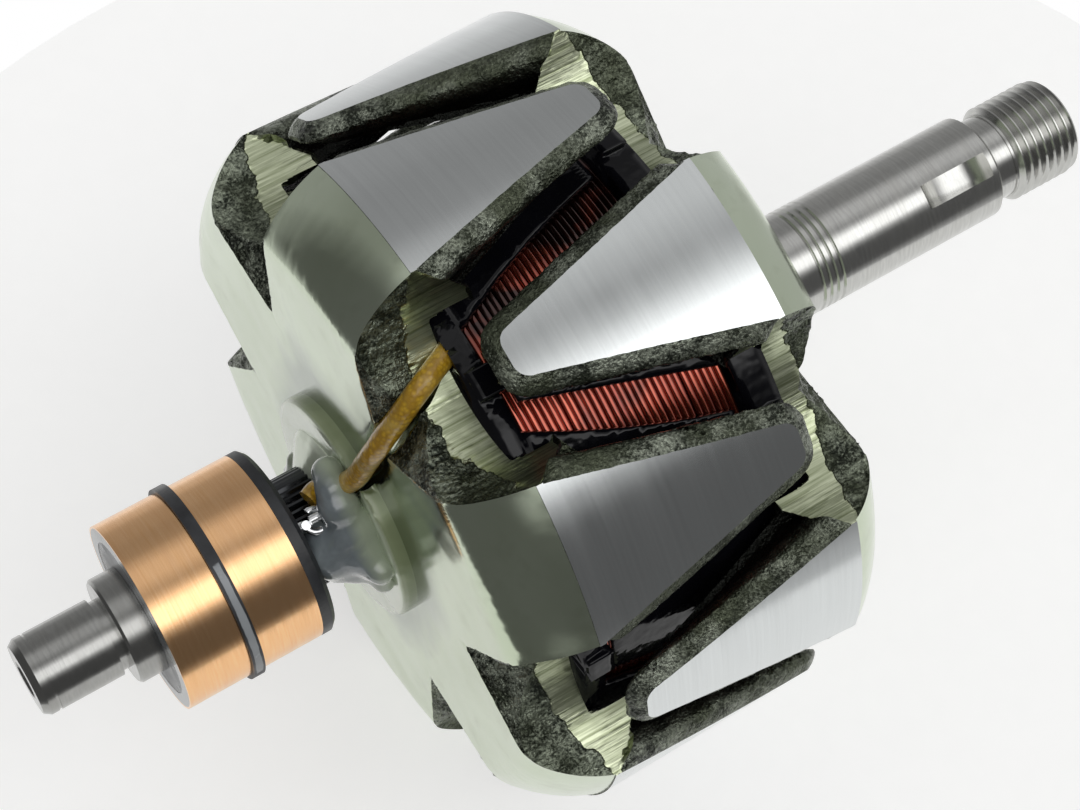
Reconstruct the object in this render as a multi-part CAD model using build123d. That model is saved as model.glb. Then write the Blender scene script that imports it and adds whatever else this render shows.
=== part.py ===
from build123d import *
import math
import os

# All sizes in mm. +X runs along the shaft to the threaded end, Z is up and
# the origin is the middle of the drive end bearing seat.

# shaft
drive_d = 17.0
drive_seat_len = 14.0
drive_shoulder_x = 22.3
relief_len = 3.5
relief_d = 13.8
thread_d = 16.0
thread_len = 12.4
thread_pitch = 1.5
stub_d = 12.0
stub_len = 12.3
stub_chamfer = 1.0
undercut_len = 1.4
undercut_d = 10.8
collar_d = 16.4
collar_len = 4.2
ring_seat_d = 15.0
knurl_teeth = 44
knurl_depth = 0.5
centre_hole_d = 4.0
centre_hole_depth = 6.0
key_slot_x = 14.7
key_slot_w = 4.0
key_disc_d = 13.0
key_slot_depth = 4.3
key_slot_angle = 34.6
mark_groove_count = 4
mark_groove_pitch = 1.25
mark_groove_depth = 0.3

# pole pieces
rotor_d = 108.4
ground_centre_x = -60.05
ground_len = 39.3
slip_shoulder_len = 10.7
drive_shoulder_len = 8.6
claw_len = 35.1
claw_count = 6
claw_root_half = 12.1
claw_tip_half = 3.0
claw_tip_round = 2.2
claw_draft = 16.0
claw_root_thick = 9.2
claw_tip_thick = 3.7
face_inset = 8.2
shoulder_bulge = 1.1
disc_step = 0.4
valley_depth = 14.2
trim_reach = 4.4
scoop_depth = 23.2
scoop_half_angle = 40.0
scoop_part = 0.52
boss_d = 35.4
boss_height = 2.4
drive_claw_angle = 20.8
lead_groove_depth = 1.8
lead_groove_gap = 0.2

# core, bobbin and winding
core_d = 50.0
fit_gap = 0.04
tube_wall = 1.4
coil_inset = 1.6
slip_flange_thick = 3.3
drive_flange_thick = 5.2
flange_gap = 0.8
petal_thick = 0.8
petal_gap = 0.35
petal_margin = 0.7
petal_end_gap = 1.8
tab_len = 4.0
tab_w = 4.4
tab_rise = 0.9
tab_gap = 0.3

# slip rings and hub
ring_gap = 13.7
ring_d = 29.2
ring_wall = 2.6
outer_ring_len = 9.75
inner_ring_len = 9.65
rib_len = 1.9
rib_rise = 0.65
rear_flange_len = 2.3
rear_flange_round = 0.7

# leads, terminals and resin
sleeve_d = 3.3
wire_d = 1.3
sleeve_lean = -9.0
lead_sink = 3.6
terminal_lean = 6.0
terminal_d = 1.8
hook_r = 1.6
hook_wire_d = 1.1
hook_rise = 2.2
hook_turn = 290.0
potting_angle = 34.0
potting_lean = 10.5
potting_round = 1.8
potting_waist = 3.6

half_turn = 180.0
shaft_r = drive_d / 2
rotor_r = rotor_d / 2
face_r = rotor_r - face_inset
valley_r = rotor_r - valley_depth
scoop_apex_r = rotor_r - scoop_depth
flange_r = rotor_r - claw_root_thick - flange_gap
coil_r = flange_r - coil_inset
boss_r = boss_d / 2
ring_r = ring_d / 2
hub_r = ring_r - ring_wall
terminal_r = hub_r - terminal_d / 2 - 0.15
slip_root_x = ground_centre_x - ground_len / 2
drive_root_x = ground_centre_x + ground_len / 2
slip_face_x = slip_root_x - slip_shoulder_len
drive_face_x = drive_root_x + drive_shoulder_len
slip_inner_x = slip_root_x + disc_step
drive_inner_x = drive_root_x - disc_step
pitch_angle = 360.0 / claw_count
slip_claw_angle = drive_claw_angle + pitch_angle / 2
lead_angle = drive_claw_angle
boss_x = slip_face_x - boss_height

ring_end_x = slip_face_x - ring_gap
collar_x = ring_end_x - inner_ring_len - rib_len - outer_ring_len
rear_flange_x = ring_end_x + rear_flange_len
stub_x = collar_x - collar_len - undercut_len
slip_tip_x = stub_x - stub_len
thread_x = drive_shoulder_x + relief_len
drive_tip_x = thread_x + thread_len


def turned(points):
    """A solid of revolution about X from points (x, radius)."""
    return revolve(make_face(Polyline(*points, close=True)), Axis.X, 360)


def ring(x0, x1, outer_r, inner_r):
    return turned([(x0, inner_r), (x1, inner_r), (x1, outer_r), (x0, outer_r)])


def rod(x0, x1, radius):
    return Pos((x0 + x1) / 2, 0, 0) * Rot(0, 90, 0) * Cylinder(radius, abs(x1 - x0))


def spin(shape, angle):
    """Turns a shape about the shaft; a positive angle carries +Z to -Y."""
    return Rot(angle, 0, 0) * shape


def at(x, radius, angle):
    a = math.radians(angle)
    return (x, -radius * math.sin(a), radius * math.cos(a))


def extruded_x(sketch, x0, x1):
    """A sketch drawn with its y axis up, pushed along X from x0 to x1."""
    return Pos(x0, 0, 0) * extrude(Plane.YZ * sketch, x1 - x0)


# shaft


def thread_profile():
    crest = thread_d / 2
    depth = 0.6 * thread_pitch
    turns = int(thread_len / thread_pitch)
    x = drive_tip_x - turns * thread_pitch
    points = [(thread_x, crest - depth)]
    for _ in range(turns - 1):
        points.append((x, crest - depth))
        points.append((x + 0.42 * thread_pitch, crest))
        points.append((x + 0.58 * thread_pitch, crest))
        x += thread_pitch
    points.append((x, crest - depth))
    points.append((x + 0.4 * thread_pitch, crest - 0.3 * depth))
    points.append((x + 0.7 * thread_pitch, crest - 0.8 * depth))
    points.append((drive_tip_x, crest - 2.0 * depth))
    return points


def shaft_body():
    stub_r = stub_d / 2
    collar_r = collar_d / 2
    edge = 0.4
    points = [
        (slip_tip_x, 0),
        (slip_tip_x, stub_r - 0.7 * stub_chamfer),
        (slip_tip_x + stub_chamfer, stub_r),
        (stub_x, stub_r),
        (stub_x, undercut_d / 2),
        (stub_x + undercut_len, undercut_d / 2),
        (stub_x + undercut_len, collar_r - edge),
        (stub_x + undercut_len + edge, collar_r),
        (collar_x, collar_r),
        (collar_x, ring_seat_d / 2),
        (rear_flange_x, ring_seat_d / 2),
        (rear_flange_x, shaft_r - knurl_depth),
        (boss_x, shaft_r - knurl_depth),
        (boss_x, shaft_r),
        (drive_shoulder_x - 0.6, shaft_r),
        (drive_shoulder_x, shaft_r - 0.6),
        (drive_shoulder_x, relief_d / 2),
        (thread_x, relief_d / 2),
    ]
    points += thread_profile()
    points.append((drive_tip_x, 0))
    return turned(points)


def knurl():
    """The fine axial teeth that show between the slip rings and the pole."""
    points = []
    for i in range(knurl_teeth):
        step = 360.0 / knurl_teeth
        for part, radius in ((0, shaft_r), (0.3, shaft_r), (0.65, shaft_r - knurl_depth)):
            a = math.radians((i + part) * step)
            points.append((-radius * math.sin(a), radius * math.cos(a)))
    sketch = make_face(Polyline(*points, close=True))
    return extruded_x(sketch, rear_flange_x + 0.6, boss_x + 1.0)


def centre_hole(x, direction):
    drill = rod(x, x + direction * centre_hole_depth, centre_hole_d / 2)
    mouth = centre_hole_d * 0.75
    cone = turned([(x, 0), (x, mouth), (x + direction * mouth, 0)])
    return drill + cone


def key_slot():
    """A half round slot cut by a disc that stands across the shaft."""
    radius = key_disc_d / 2
    disc = Rot(90, 0, 0) * Cylinder(radius, key_slot_w)
    return spin(Pos(key_slot_x, 0, shaft_r - key_slot_depth + radius) * disc, key_slot_angle)


def mark_grooves():
    """Fine turned grooves on the shaft beside the drive end pole."""
    x = -drive_seat_len / 2 - 1.6
    cuts = []
    for i in range(mark_groove_count):
        c = x - i * mark_groove_pitch
        d = mark_groove_depth
        cuts.append(turned([(c - d, shaft_r + 1), (c - d, shaft_r), (c, shaft_r - d),
                            (c + d, shaft_r), (c + d, shaft_r + 1)]))
    return cuts


def make_shaft():
    shaft = shaft_body() + knurl()
    shaft -= centre_hole(slip_tip_x, 1)
    shaft -= centre_hole(drive_tip_x, -1)
    shaft -= key_slot()
    for cut in mark_grooves():
        shaft -= cut
    tip_ring = slip_tip_x + 2.2
    shaft -= ring(tip_ring, tip_ring + 0.4, stub_d, stub_d / 2 - 0.2)
    return shaft


# pole pieces, built with the outer face at x = 0 and the claws along +X


def disc_blank(root_u):
    """The disc with its bulged forged shoulder, as one turned shape."""
    mid = (root_u / 2 - 0.4 * shoulder_bulge, (face_r + rotor_r) / 2 + shoulder_bulge)
    shoulder = ThreePointArc((0, face_r), mid, (root_u, rotor_r))
    back = root_u + disc_step
    rest = Polyline((root_u, rotor_r), (back, rotor_r), (back, 0), (0, 0), (0, face_r))
    return revolve(make_face(shoulder.edges() + rest.edges()), Axis.X, 360)


def valley_sketch():
    """The round hollow between two claws, opening upward."""
    lean = math.radians(pitch_angle / 2)
    half = claw_root_half + 0.1
    centre = (valley_r - half) / (1 - math.sin(lean))
    radius = centre - valley_r
    touch = (radius * math.cos(lean), centre - radius * math.sin(lean))
    out = rotor_r
    far = (touch[0] + out * math.sin(lean), touch[1] + out * math.cos(lean))
    wedge = make_face(Polyline((-touch[0], touch[1]), touch, far, (-far[0], far[1]), close=True))
    return Pos(0, centre) * Circle(radius) + wedge


def scoop(root_u):
    """The forged hollow that runs from the end face down to the trimmed edge."""
    side = rotor_r * 0.4
    spread = math.radians(scoop_half_angle)
    a = (0, scoop_apex_r)
    b = (side * math.sin(spread), scoop_apex_r + side * math.cos(spread))
    face = Plane.YZ * make_face(Polyline(a, b, (-b[0], b[1]), close=True))
    rise = valley_r - scoop_apex_r
    depth = scoop_part * root_u
    cut = extrude(face, 2.2 * math.hypot(rise, depth), dir=(depth, 0, rise))
    return cut + extrude(face, 0.5, dir=(-1, 0, 0))


def claw(root_u):
    """One tapered claw with drafted sides, rounded tip and thinning section."""
    top = rotor_r + 0.2
    tip_u = root_u + claw_len
    drop = rotor_r - math.sqrt(rotor_r**2 - claw_root_half**2)
    root_half = claw_root_half - drop * math.tan(math.radians(claw_draft))
    slope = (root_half - claw_tip_half) / claw_len
    start = root_u - 3.0
    start_half = root_half + 3.0 * slope
    outline = make_face(Polyline((start, -start_half), (tip_u, -claw_tip_half),
                                 (tip_u, claw_tip_half), (start, start_half), close=True))
    nose = outline.vertices().sort_by(Axis.X)[-2:]
    outline = fillet(nose, min(claw_tip_round, 0.9 * claw_tip_half))
    deep = 0.85 * (rotor_r - claw_root_thick)
    plane = Plane(origin=(0, 0, top), x_dir=(1, 0, 0), z_dir=(0, 0, -1))
    block = extrude(plane * outline, top - deep, taper=-claw_draft)
    start_u = root_u + disc_step - 1.0
    band = turned([(start_u, rotor_r - claw_root_thick), (tip_u + 1, rotor_r - claw_tip_thick + 0.15),
                   (tip_u + 1, rotor_r), (start_u, rotor_r)])
    return block & band


def pole_piece(root_u):
    pole = disc_blank(root_u)
    hollow = extruded_x(valley_sketch(), -1, root_u + trim_reach)
    one_claw = claw(root_u)
    one_scoop = scoop(root_u)
    for i in range(claw_count):
        pole += spin(one_claw, i * pitch_angle)
    for i in range(claw_count):
        pole -= spin(hollow, (i + 0.5) * pitch_angle)
        pole -= spin(one_scoop, (i + 0.5) * pitch_angle)
    pole += ring(-boss_height, 1, boss_r, shaft_r)
    pole -= rod(-boss_height - 1, root_u + disc_step + 1, shaft_r + fit_gap)
    return pole


def make_poles():
    slip = Pos(slip_face_x, 0, 0) * spin(pole_piece(slip_shoulder_len), slip_claw_angle)
    for side in (0, half_turn):
        slip -= lead_body(side, sleeve_d / 2 + lead_groove_gap)
    drive = Rot(0, 0, half_turn) * spin(pole_piece(drive_shoulder_len), -drive_claw_angle)
    return slip, Pos(drive_face_x, 0, 0) * drive


# core, bobbin and winding


def claw_half_at(depth_from_root):
    """Half the width of a claw at its underside, a given way from its root."""
    part = min(max(depth_from_root / claw_len, 0), 1)
    width = claw_root_half + (claw_tip_half - claw_root_half) * part
    thick = claw_root_thick + (claw_tip_thick - claw_root_thick) * part
    return width + thick * math.tan(math.radians(claw_draft))


def petal(x_root, x_end, angle, margin):
    """A thin tongue of the bobbin that lies on the coil under one claw."""
    inner_r = coil_r + petal_gap
    wide = claw_half_at(0) + margin
    narrow = claw_half_at(abs(x_end - x_root)) + margin
    outline = make_face(Polyline((x_root, -wide), (x_end, -narrow), (x_end, narrow), (x_root, wide),
                                 close=True))
    block = extrude(Pos(0, 0, inner_r * 0.7) * outline, inner_r * 0.5)
    shell = ring(min(x_root, x_end), max(x_root, x_end), inner_r + petal_thick, inner_r)
    return spin(block & shell, angle)


def tab(x_flange, direction, angle):
    """A square finger that stands up in each hollow between two claws."""
    top = flange_r + tab_rise
    x = x_flange + direction * (tab_len / 2)
    foot = coil_r + tab_gap
    box = Pos(x, 0, (top + foot) / 2) * Box(tab_len, tab_w, top - foot)
    return spin(fillet(box.edges().filter_by(Axis.X), 0.4), angle)


def make_bobbin():
    inner_r = core_d / 2 + fit_gap
    x0 = slip_inner_x + fit_gap
    x1 = drive_inner_x - fit_gap
    coil_x0 = slip_inner_x + slip_flange_thick
    coil_x1 = drive_inner_x - drive_flange_thick
    body = ring(x0, x1, inner_r + tube_wall, inner_r)
    body += ring(x0, coil_x0, flange_r, inner_r)
    body += ring(coil_x1, x1, flange_r, inner_r)
    for i in range(claw_count):
        turn = i * pitch_angle
        body += petal(x0 + 1, coil_x1 - petal_end_gap, slip_claw_angle + turn, petal_margin)
        body += petal(x1 - 1, coil_x0 + petal_end_gap, drive_claw_angle + turn, -petal_margin)
        body += tab(x0 + 0.3, 1, drive_claw_angle + turn)
        body += tab(x1 - 0.3, -1, slip_claw_angle + turn)
    for side in (0, half_turn):
        body -= lead_body(side, sleeve_d / 2 + lead_groove_gap)
    return body


def make_core():
    return ring(slip_inner_x + fit_gap, drive_inner_x - fit_gap, core_d / 2, shaft_r + fit_gap)


def make_winding():
    x0 = slip_inner_x + slip_flange_thick + fit_gap
    x1 = drive_inner_x - drive_flange_thick - fit_gap
    return ring(x0, x1, coil_r, core_d / 2 + tube_wall + 2 * fit_gap)


# slip rings


def make_hub():
    rib_x = collar_x + outer_ring_len
    e = rear_flange_round
    seat = ring_seat_d / 2 + fit_gap
    points = [
        (collar_x + fit_gap, seat), (rear_flange_x, seat),
        (rear_flange_x, ring_r - e), (rear_flange_x - e, ring_r),
        (ring_end_x + fit_gap, ring_r), (ring_end_x + fit_gap, hub_r),
        (rib_x + rib_len - fit_gap, hub_r), (rib_x + rib_len - fit_gap, ring_r + rib_rise),
        (rib_x + fit_gap, ring_r + rib_rise), (rib_x + fit_gap, hub_r),
        (collar_x + fit_gap, hub_r),
    ]
    hub = turned(points)
    for side in (0, half_turn):
        hub -= spin(terminal_bore(side), lead_angle + terminal_lean + side)
    return hub


def terminal_start(side):
    """The terminal of the outer ring starts further in than the other one."""
    reach = inner_ring_len + rib_len if side == 0 else 0
    return ring_end_x - reach - 4.0


def terminal_bore(side):
    x0 = terminal_start(side) - fit_gap
    return Pos(0, 0, terminal_r) * rod(x0, rear_flange_x + 1, terminal_d / 2 + fit_gap)


def make_slip_rings():
    rib_x = collar_x + outer_ring_len
    outer = ring(collar_x, rib_x, ring_r, hub_r + fit_gap)
    inner = ring(rib_x + rib_len, ring_end_x, ring_r, hub_r + fit_gap)
    return outer, inner


def hook_centre_x():
    return rear_flange_x + 0.4 + hook_wire_d / 2 + hook_r


def make_terminal(side):
    """A tinned pin whose end rises to an open hook for the lead wire."""
    foot_x = hook_centre_x() - hook_r
    hook_z = terminal_r + hook_rise
    top = hook_z + hook_wire_d / 2 + 0.1
    pin = Pos(0, 0, terminal_r) * rod(terminal_start(side), foot_x, terminal_d / 2)
    post = Pos(foot_x, 0, (terminal_r + top) / 2) * Cylinder(0.75 * terminal_d / 2, top - terminal_r)
    knee = Pos(foot_x, 0, terminal_r) * Sphere(terminal_d / 2)
    wire = Plane.XZ * Pos(-hook_r, 0) * Circle(hook_wire_d / 2)
    hook = Pos(hook_centre_x(), 0, hook_z) * revolve(wire, Axis.Z, hook_turn)
    return spin(pin + knee + post + hook, lead_angle + terminal_lean + side)


# leads and resin


def wire_r():
    """The bare wire lies on the outside of the hook."""
    return terminal_r + hook_rise + (hook_wire_d + wire_d) / 2 + fit_gap


def lead_points(side):
    """The way of one lead from the coil to its terminal."""
    a = lead_angle + side
    half = sleeve_d / 2
    groove_x = slip_face_x + lead_groove_depth - half - lead_groove_gap
    return [
        at(slip_inner_x + slip_flange_thick - 0.9, flange_r - half - 0.6, a + sleeve_lean),
        at(slip_inner_x - 1.6, valley_r + half + 0.5, a + 0.75 * sleeve_lean),
        at(slip_face_x + 0.42 * slip_shoulder_len, valley_r - 1.0, a + 0.4 * sleeve_lean),
        at(groove_x - 0.3, scoop_apex_r - 1.0, a + 0.1 * sleeve_lean),
        at(groove_x, boss_r + 3.2, a),
        at(boss_x - 1.6, boss_r - lead_sink, a),
        at(hook_centre_x() + hook_r + 1.6, wire_r(), a + 0.6 * terminal_lean),
    ]


def lead_body(side, radius):
    path = Spline(*lead_points(side))
    start = Plane(origin=path @ 0, z_dir=path % 0)
    return sweep(start * Circle(radius), path=path)


def make_lead_wire(side):
    """The bare tinned end of the lead, soldered across the hook."""
    x0 = hook_centre_x() + hook_r + 1.6
    x1 = hook_centre_x() - 0.6 * hook_r
    wire = Pos(0, 0, wire_r()) * rod(x0 - 0.2, x1, wire_d / 2)
    return spin(wire, lead_angle + 0.8 * terminal_lean + side)


def make_potting(side):
    """The resin that bridges from the ring hub to the boss beside the lead."""
    low = shaft_r + fit_gap
    x0 = rear_flange_x + fit_gap
    x1 = boss_x - fit_gap
    top0 = ring_r - 1.6
    top1 = boss_r - 1.4
    walls = Polyline((x1, top1), (x1, low), (x0, low), (x0, top0))
    waist = ThreePointArc((x0, top0), ((x0 + x1) / 2, shaft_r + potting_waist), (x1, top1))
    band = revolve(make_face(walls.edges() + waist.edges()), Axis.X, potting_angle)
    turn = lead_angle + terminal_lean + potting_lean
    waists = [e for e in band.edges() if abs(e.length - waist.length) < 0.05]
    return spin(fillet(waists, potting_round), 90 + turn + side)


def write_all():
    os.makedirs("parts", exist_ok=True)
    slip_pole, drive_pole = make_poles()
    outer_ring, inner_ring = make_slip_rings()
    nodes = {
        "shaft": make_shaft(),
        "slip_end_pole": slip_pole,
        "drive_end_pole": drive_pole,
        "field_core": make_core(),
        "bobbin": make_bobbin(),
        "field_winding": make_winding(),
        "slip_ring_hub": make_hub(),
        "outer_slip_ring": outer_ring,
        "inner_slip_ring": inner_ring,
        "outer_ring_terminal": make_terminal(0),
        "inner_ring_terminal": make_terminal(half_turn),
        "start_lead_sleeve": lead_body(0, sleeve_d / 2),
        "finish_lead_sleeve": lead_body(half_turn, sleeve_d / 2),
        "start_lead_wire": make_lead_wire(0),
        "finish_lead_wire": make_lead_wire(half_turn),
        "start_lead_potting": make_potting(0),
        "finish_lead_potting": make_potting(half_turn),
    }
    for name, shape in nodes.items():
        export_step(shape, f"parts/{name}.step")
        box = shape.bounding_box()
        print(name, len(shape.solids()), round(shape.volume), [round(v, 1) for v in (*box.min, *box.max)])


write_all()
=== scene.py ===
import bpy
import bmesh
import math
import numpy as np
from mathutils import Matrix, Vector, noise


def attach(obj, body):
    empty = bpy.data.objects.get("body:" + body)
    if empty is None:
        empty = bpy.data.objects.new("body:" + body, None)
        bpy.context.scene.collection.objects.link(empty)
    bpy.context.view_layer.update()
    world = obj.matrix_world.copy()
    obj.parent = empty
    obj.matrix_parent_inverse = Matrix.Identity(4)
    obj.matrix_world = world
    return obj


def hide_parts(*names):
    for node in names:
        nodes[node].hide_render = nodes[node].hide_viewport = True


# Looks of the generator rotor, in the CAD's frame: +X along the shaft to its threaded end.
# Sizes are in millimetres and are multiplied by MM where the scene wants metres. Angles round
# the shaft count from straight up towards the near side, in degrees unless said otherwise.

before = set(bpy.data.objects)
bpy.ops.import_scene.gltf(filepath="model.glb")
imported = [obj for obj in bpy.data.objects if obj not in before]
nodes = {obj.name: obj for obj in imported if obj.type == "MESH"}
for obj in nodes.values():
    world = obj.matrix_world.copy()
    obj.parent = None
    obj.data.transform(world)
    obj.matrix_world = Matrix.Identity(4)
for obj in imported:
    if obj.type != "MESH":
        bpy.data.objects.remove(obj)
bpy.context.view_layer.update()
MM = 0.001


def extent(node):
    """A node's least and greatest x, and its greatest distance from the shaft's middle line."""
    points = [v.co / MM for v in nodes[node].data.vertices]
    return (round(min(p.x for p in points), 3), round(max(p.x for p in points), 3),
            round(max(math.hypot(p.y, p.z) for p in points), 3))


class End:
    """One pole piece: where its end face and its claws' roots lie along the shaft, which way its
    claws point (1 is towards +X) and the angle of its first claw."""

    def __init__(self, face, root, side, claw):
        self.face, self.side, self.claw = face, side, claw
        self.deep = abs(root - face)

    def behind(self, x):
        """How far a place lies behind the end face, towards the claws' tips."""
        return (x - self.face) * self.side


# sizes taken from the CAD

FIT_GAP = 0.04
DISC_STEP = 0.4
BOSS_HEIGHT = 2.4
boss_x, _, ROTOR_R = extent("slip_end_pole")
_, drive_boss_x, _ = extent("drive_end_pole")
bobbin_x = extent("bobbin")
SLIP = End(round(boss_x + BOSS_HEIGHT, 3), round(bobbin_x[0] - FIT_GAP - DISC_STEP, 3), 1, 50.8)
DRIVE = End(round(drive_boss_x - BOSS_HEIGHT, 3), round(bobbin_x[1] + FIT_GAP + DISC_STEP, 3), -1,
            20.8)
coil_x0, coil_x1, COIL_R = extent("field_winding")
COIL_X = (round(coil_x0 - FIT_GAP, 3), round(coil_x1 + FIT_GAP, 3))
FRONT_X, rib_x0, RING_R = extent("outer_slip_ring")
RIB_X = (rib_x0, extent("inner_slip_ring")[0])
KNURL_X = (extent("slip_ring_hub")[1], boss_x)
SEAT_R = extent("shaft")[2]

# the pole pieces' sizes as the CAD has them

FACE_R = 46.0
VALLEY_R = 40.0
CLAW_PITCH = 60.0
CLAW_LEN = 35.1
CLAW_HALF = (12.1, 3.0)
CLAW_THICK = (9.2, 3.7)
CLAW_DRAFT = 0.287
TURNED_R = ROTOR_R - 0.01

# the claws' edge: widest EDGE_DEPTH under the ground face, by EDGE_OUT, and drawn in below

EDGE_OUT = 2.3
EDGE_DEPTH = 2.2
EDGE_IN = -0.6

# the round between end face and shoulder, and how far the shoulder's arc stands off its chord

SHOULDER_ROUND = 8.0
SHOULDER_BULGE = 1.18

# the sheared band at the bottom of the valleys; it widens outward by TRIM_LEAN

TRIM_WIDTH = 4.8
TRIM_LEAN = 0.28

# how fine the meshes are, and how near points are the same point

SKIN_GRAIN = 0.95
BOBBIN_GRAIN = 1.8
JOIN = 0.002

# places of colour: the dull stub, the fine grooves by the drive end seat, where the resin turns
# green, and the angles round the shaft, in radians, between which the winding gets more black
# towards the top: black varnish stains and painted shade

DULL_X = -118.0
MARKS_X = (-32.0, -22.0)
GREEN_X = (-97.2, -94.5)
STAINS_AND_SHADE_TO = (0.28, 0.5)

# ranges that take in the middle of a noise, and most of it

MIDDLE = (0.35, 0.65)
MOST = (0.3, 0.7)


# materials

class Nodes:
    """A small helper around one node tree."""

    def __init__(self, tree):
        self.tree = tree

    def add(self, kind, **settings):
        node = self.tree.nodes.new(kind)
        for key, value in settings.items():
            setattr(node, key, value)
        return node

    def set(self, socket, value):
        if isinstance(value, bpy.types.NodeSocket):
            self.tree.links.new(value, socket)
        elif isinstance(value, (tuple, list)) and len(value) == 3 and socket.type == "RGBA":
            socket.default_value = (*value, 1)
        else:
            socket.default_value = value

    def math(self, op, a, b=0.0):
        node = self.add("ShaderNodeMath", operation=op)
        for socket, value in zip(node.inputs, (a, b)):
            self.set(socket, value)
        return node.outputs[0]

    def split(self, vector):
        node = self.add("ShaderNodeSeparateXYZ")
        self.set(node.inputs[0], vector)
        return node.outputs

    def join(self, x, y, z):
        node = self.add("ShaderNodeCombineXYZ")
        for socket, value in zip(node.inputs, (x, y, z)):
            self.set(socket, value)
        return node.outputs[0]

    def remap(self, value, low, high, to_low=0.0, to_high=1.0):
        node = self.add("ShaderNodeMapRange")
        for key, v in (("Value", value), ("From Min", low), ("From Max", high),
                       ("To Min", to_low), ("To Max", to_high)):
            self.set(node.inputs[key], v)
        return node.outputs[0]

    def mix(self, part, a, b):
        node = self.add("ShaderNodeMix", data_type="RGBA")
        self.set(node.inputs["Factor"], part)
        self.set(node.inputs[6], a)
        self.set(node.inputs[7], b)
        return node.outputs[2]


class Mat(Nodes):
    """One material; x, y and z are the object's own coordinates."""

    def __init__(self, name, **sockets):
        self.mat = bpy.data.materials.new(name)
        self.mat.use_nodes = True
        super().__init__(self.mat.node_tree)
        self.bsdf = self.tree.nodes["Principled BSDF"]
        self.coords = self.add("ShaderNodeTexCoord").outputs["Object"]
        self.x, self.y, self.z = self.split(self.coords)
        self.put(**sockets)

    def put(self, **sockets):
        for key, value in sockets.items():
            self.set(self.bsdf.inputs[key.replace("_", " ")], value)

    def radius(self):
        return self.math("SQRT", self.math("ADD", self.math("MULTIPLY", self.y, self.y),
                                           self.math("MULTIPLY", self.z, self.z)))

    def turn(self):
        """The angle round the shaft, in radians from straight up."""
        return self.math("ARCTAN2", self.math("MULTIPLY", self.y, -1.0), self.z)

    def around(self, along, turns):
        """Coordinates wrapped round the shaft, scaled along it and round it."""
        return self.join(self.math("MULTIPLY", self.x, along),
                         self.math("MULTIPLY", self.turn(), -turns), 0.0)

    def band(self, value, rise, fall):
        """1 between two places, each given as (where it is 0, where it is 1)."""
        return self.math("MULTIPLY", self.remap(value, *rise), self.remap(value, *fall))

    def front(self):
        """1 on the flat front face of the hub and the outer ring."""
        return self.remap(self.x, (FRONT_X + 0.06) * MM, (FRONT_X + 0.02) * MM)

    def noise(self, vector, scale=1.0, detail=4.0, rough=0.55, twist=0.0):
        node = self.add("ShaderNodeTexNoise")
        self.set(node.inputs["Vector"], vector)
        self.set(node.inputs["Scale"], scale)
        self.set(node.inputs["Detail"], detail)
        self.set(node.inputs["Roughness"], rough)
        self.set(node.inputs["Distortion"], twist)
        return node.outputs["Fac"]

    def cells(self, vector, scale):
        node = self.add("ShaderNodeTexVoronoi")
        self.set(node.inputs["Vector"], vector)
        self.set(node.inputs["Scale"], scale)
        return node.outputs["Distance"]

    def bump(self, height, deep, normal=None):
        node = self.add("ShaderNodeBump")
        self.set(node.inputs["Height"], height)
        node.inputs["Distance"].default_value = deep * MM
        if normal is not None:
            self.set(node.inputs["Normal"], normal)
        return node.outputs[0]


def times(colour, level):
    return tuple(c * level for c in colour)


def ground_steel(name, colour, rough, lines, deep):
    """Steel turned or ground round the shaft: fine lines run round it."""
    m = Mat(name, Metallic=1.0)
    fine = m.noise(m.around(lines, 2.0), detail=3.0)
    wide = m.noise(m.around(260, 1.2), detail=3.0)
    cloud = m.noise(m.coords, scale=38, detail=4.0)
    tone = m.mix(m.remap(fine, *MOST), times(colour, 0.93), colour)
    tone = m.mix(m.remap(cloud, *MIDDLE, 0.0, 0.5), tone, times(colour, 0.96))
    m.put(Base_Color=tone, Roughness=m.remap(wide, *MOST, rough - 0.03, rough + 0.04))
    m.put(Normal=m.bump(fine, deep))
    return m.mat


def varnished_steel(name):
    """Forged steel under a thin, slightly green clear varnish, greyer round the boss."""
    green, pale = (0.55, 0.62, 0.47), (0.66, 0.73, 0.59)
    spot, grey = (0.44, 0.49, 0.36), (0.33, 0.36, 0.33)
    m = Mat(name, Metallic=1.0)
    cloud = m.noise(m.coords, scale=30, detail=4.0, twist=0.6)
    spots = m.noise(m.coords, scale=240, detail=3.0)
    waves = m.noise(m.coords, scale=45, detail=2.0)
    tone = m.mix(m.remap(cloud, *MIDDLE), green, pale)
    tone = m.mix(m.remap(spots, 0.55, 0.75, 0.0, 0.35), tone, spot)
    near = m.math("ADD", m.remap(m.radius(), 31 * MM, 19 * MM), m.remap(cloud, *MIDDLE, -0.5, 0.3))
    m.put(Base_Color=m.mix(m.remap(near, 0.2, 0.9, 0.0, 0.75), tone, grey))
    m.put(Roughness=m.remap(cloud, *MOST, 0.12, 0.2))
    m.put(Normal=m.bump(spots, 0.01, normal=m.bump(waves, 0.7)))
    return m.mat


def varnish_pool(name):
    """Where the varnish stands thick round the boss: its face, and its darker rim."""
    m = Mat(name, Coat_Weight=0.6, Coat_Roughness=0.06)
    cloud = m.noise(m.coords, scale=90, detail=3.0, twist=0.5)
    thin = m.remap(m.radius(), 17.6 * MM, 17.2 * MM)
    part = m.remap(cloud, *MIDDLE)
    face = m.mix(part, (0.70, 0.78, 0.60), (0.84, 0.91, 0.76))
    rim = m.mix(part, (0.22, 0.27, 0.13), (0.36, 0.42, 0.24))
    m.put(Base_Color=m.mix(thin, rim, face), Metallic=m.remap(thin, 0, 1, 0.1, 0.4))
    m.put(Roughness=0.22, Normal=m.bump(cloud, 0.5))
    return m.mat


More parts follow.
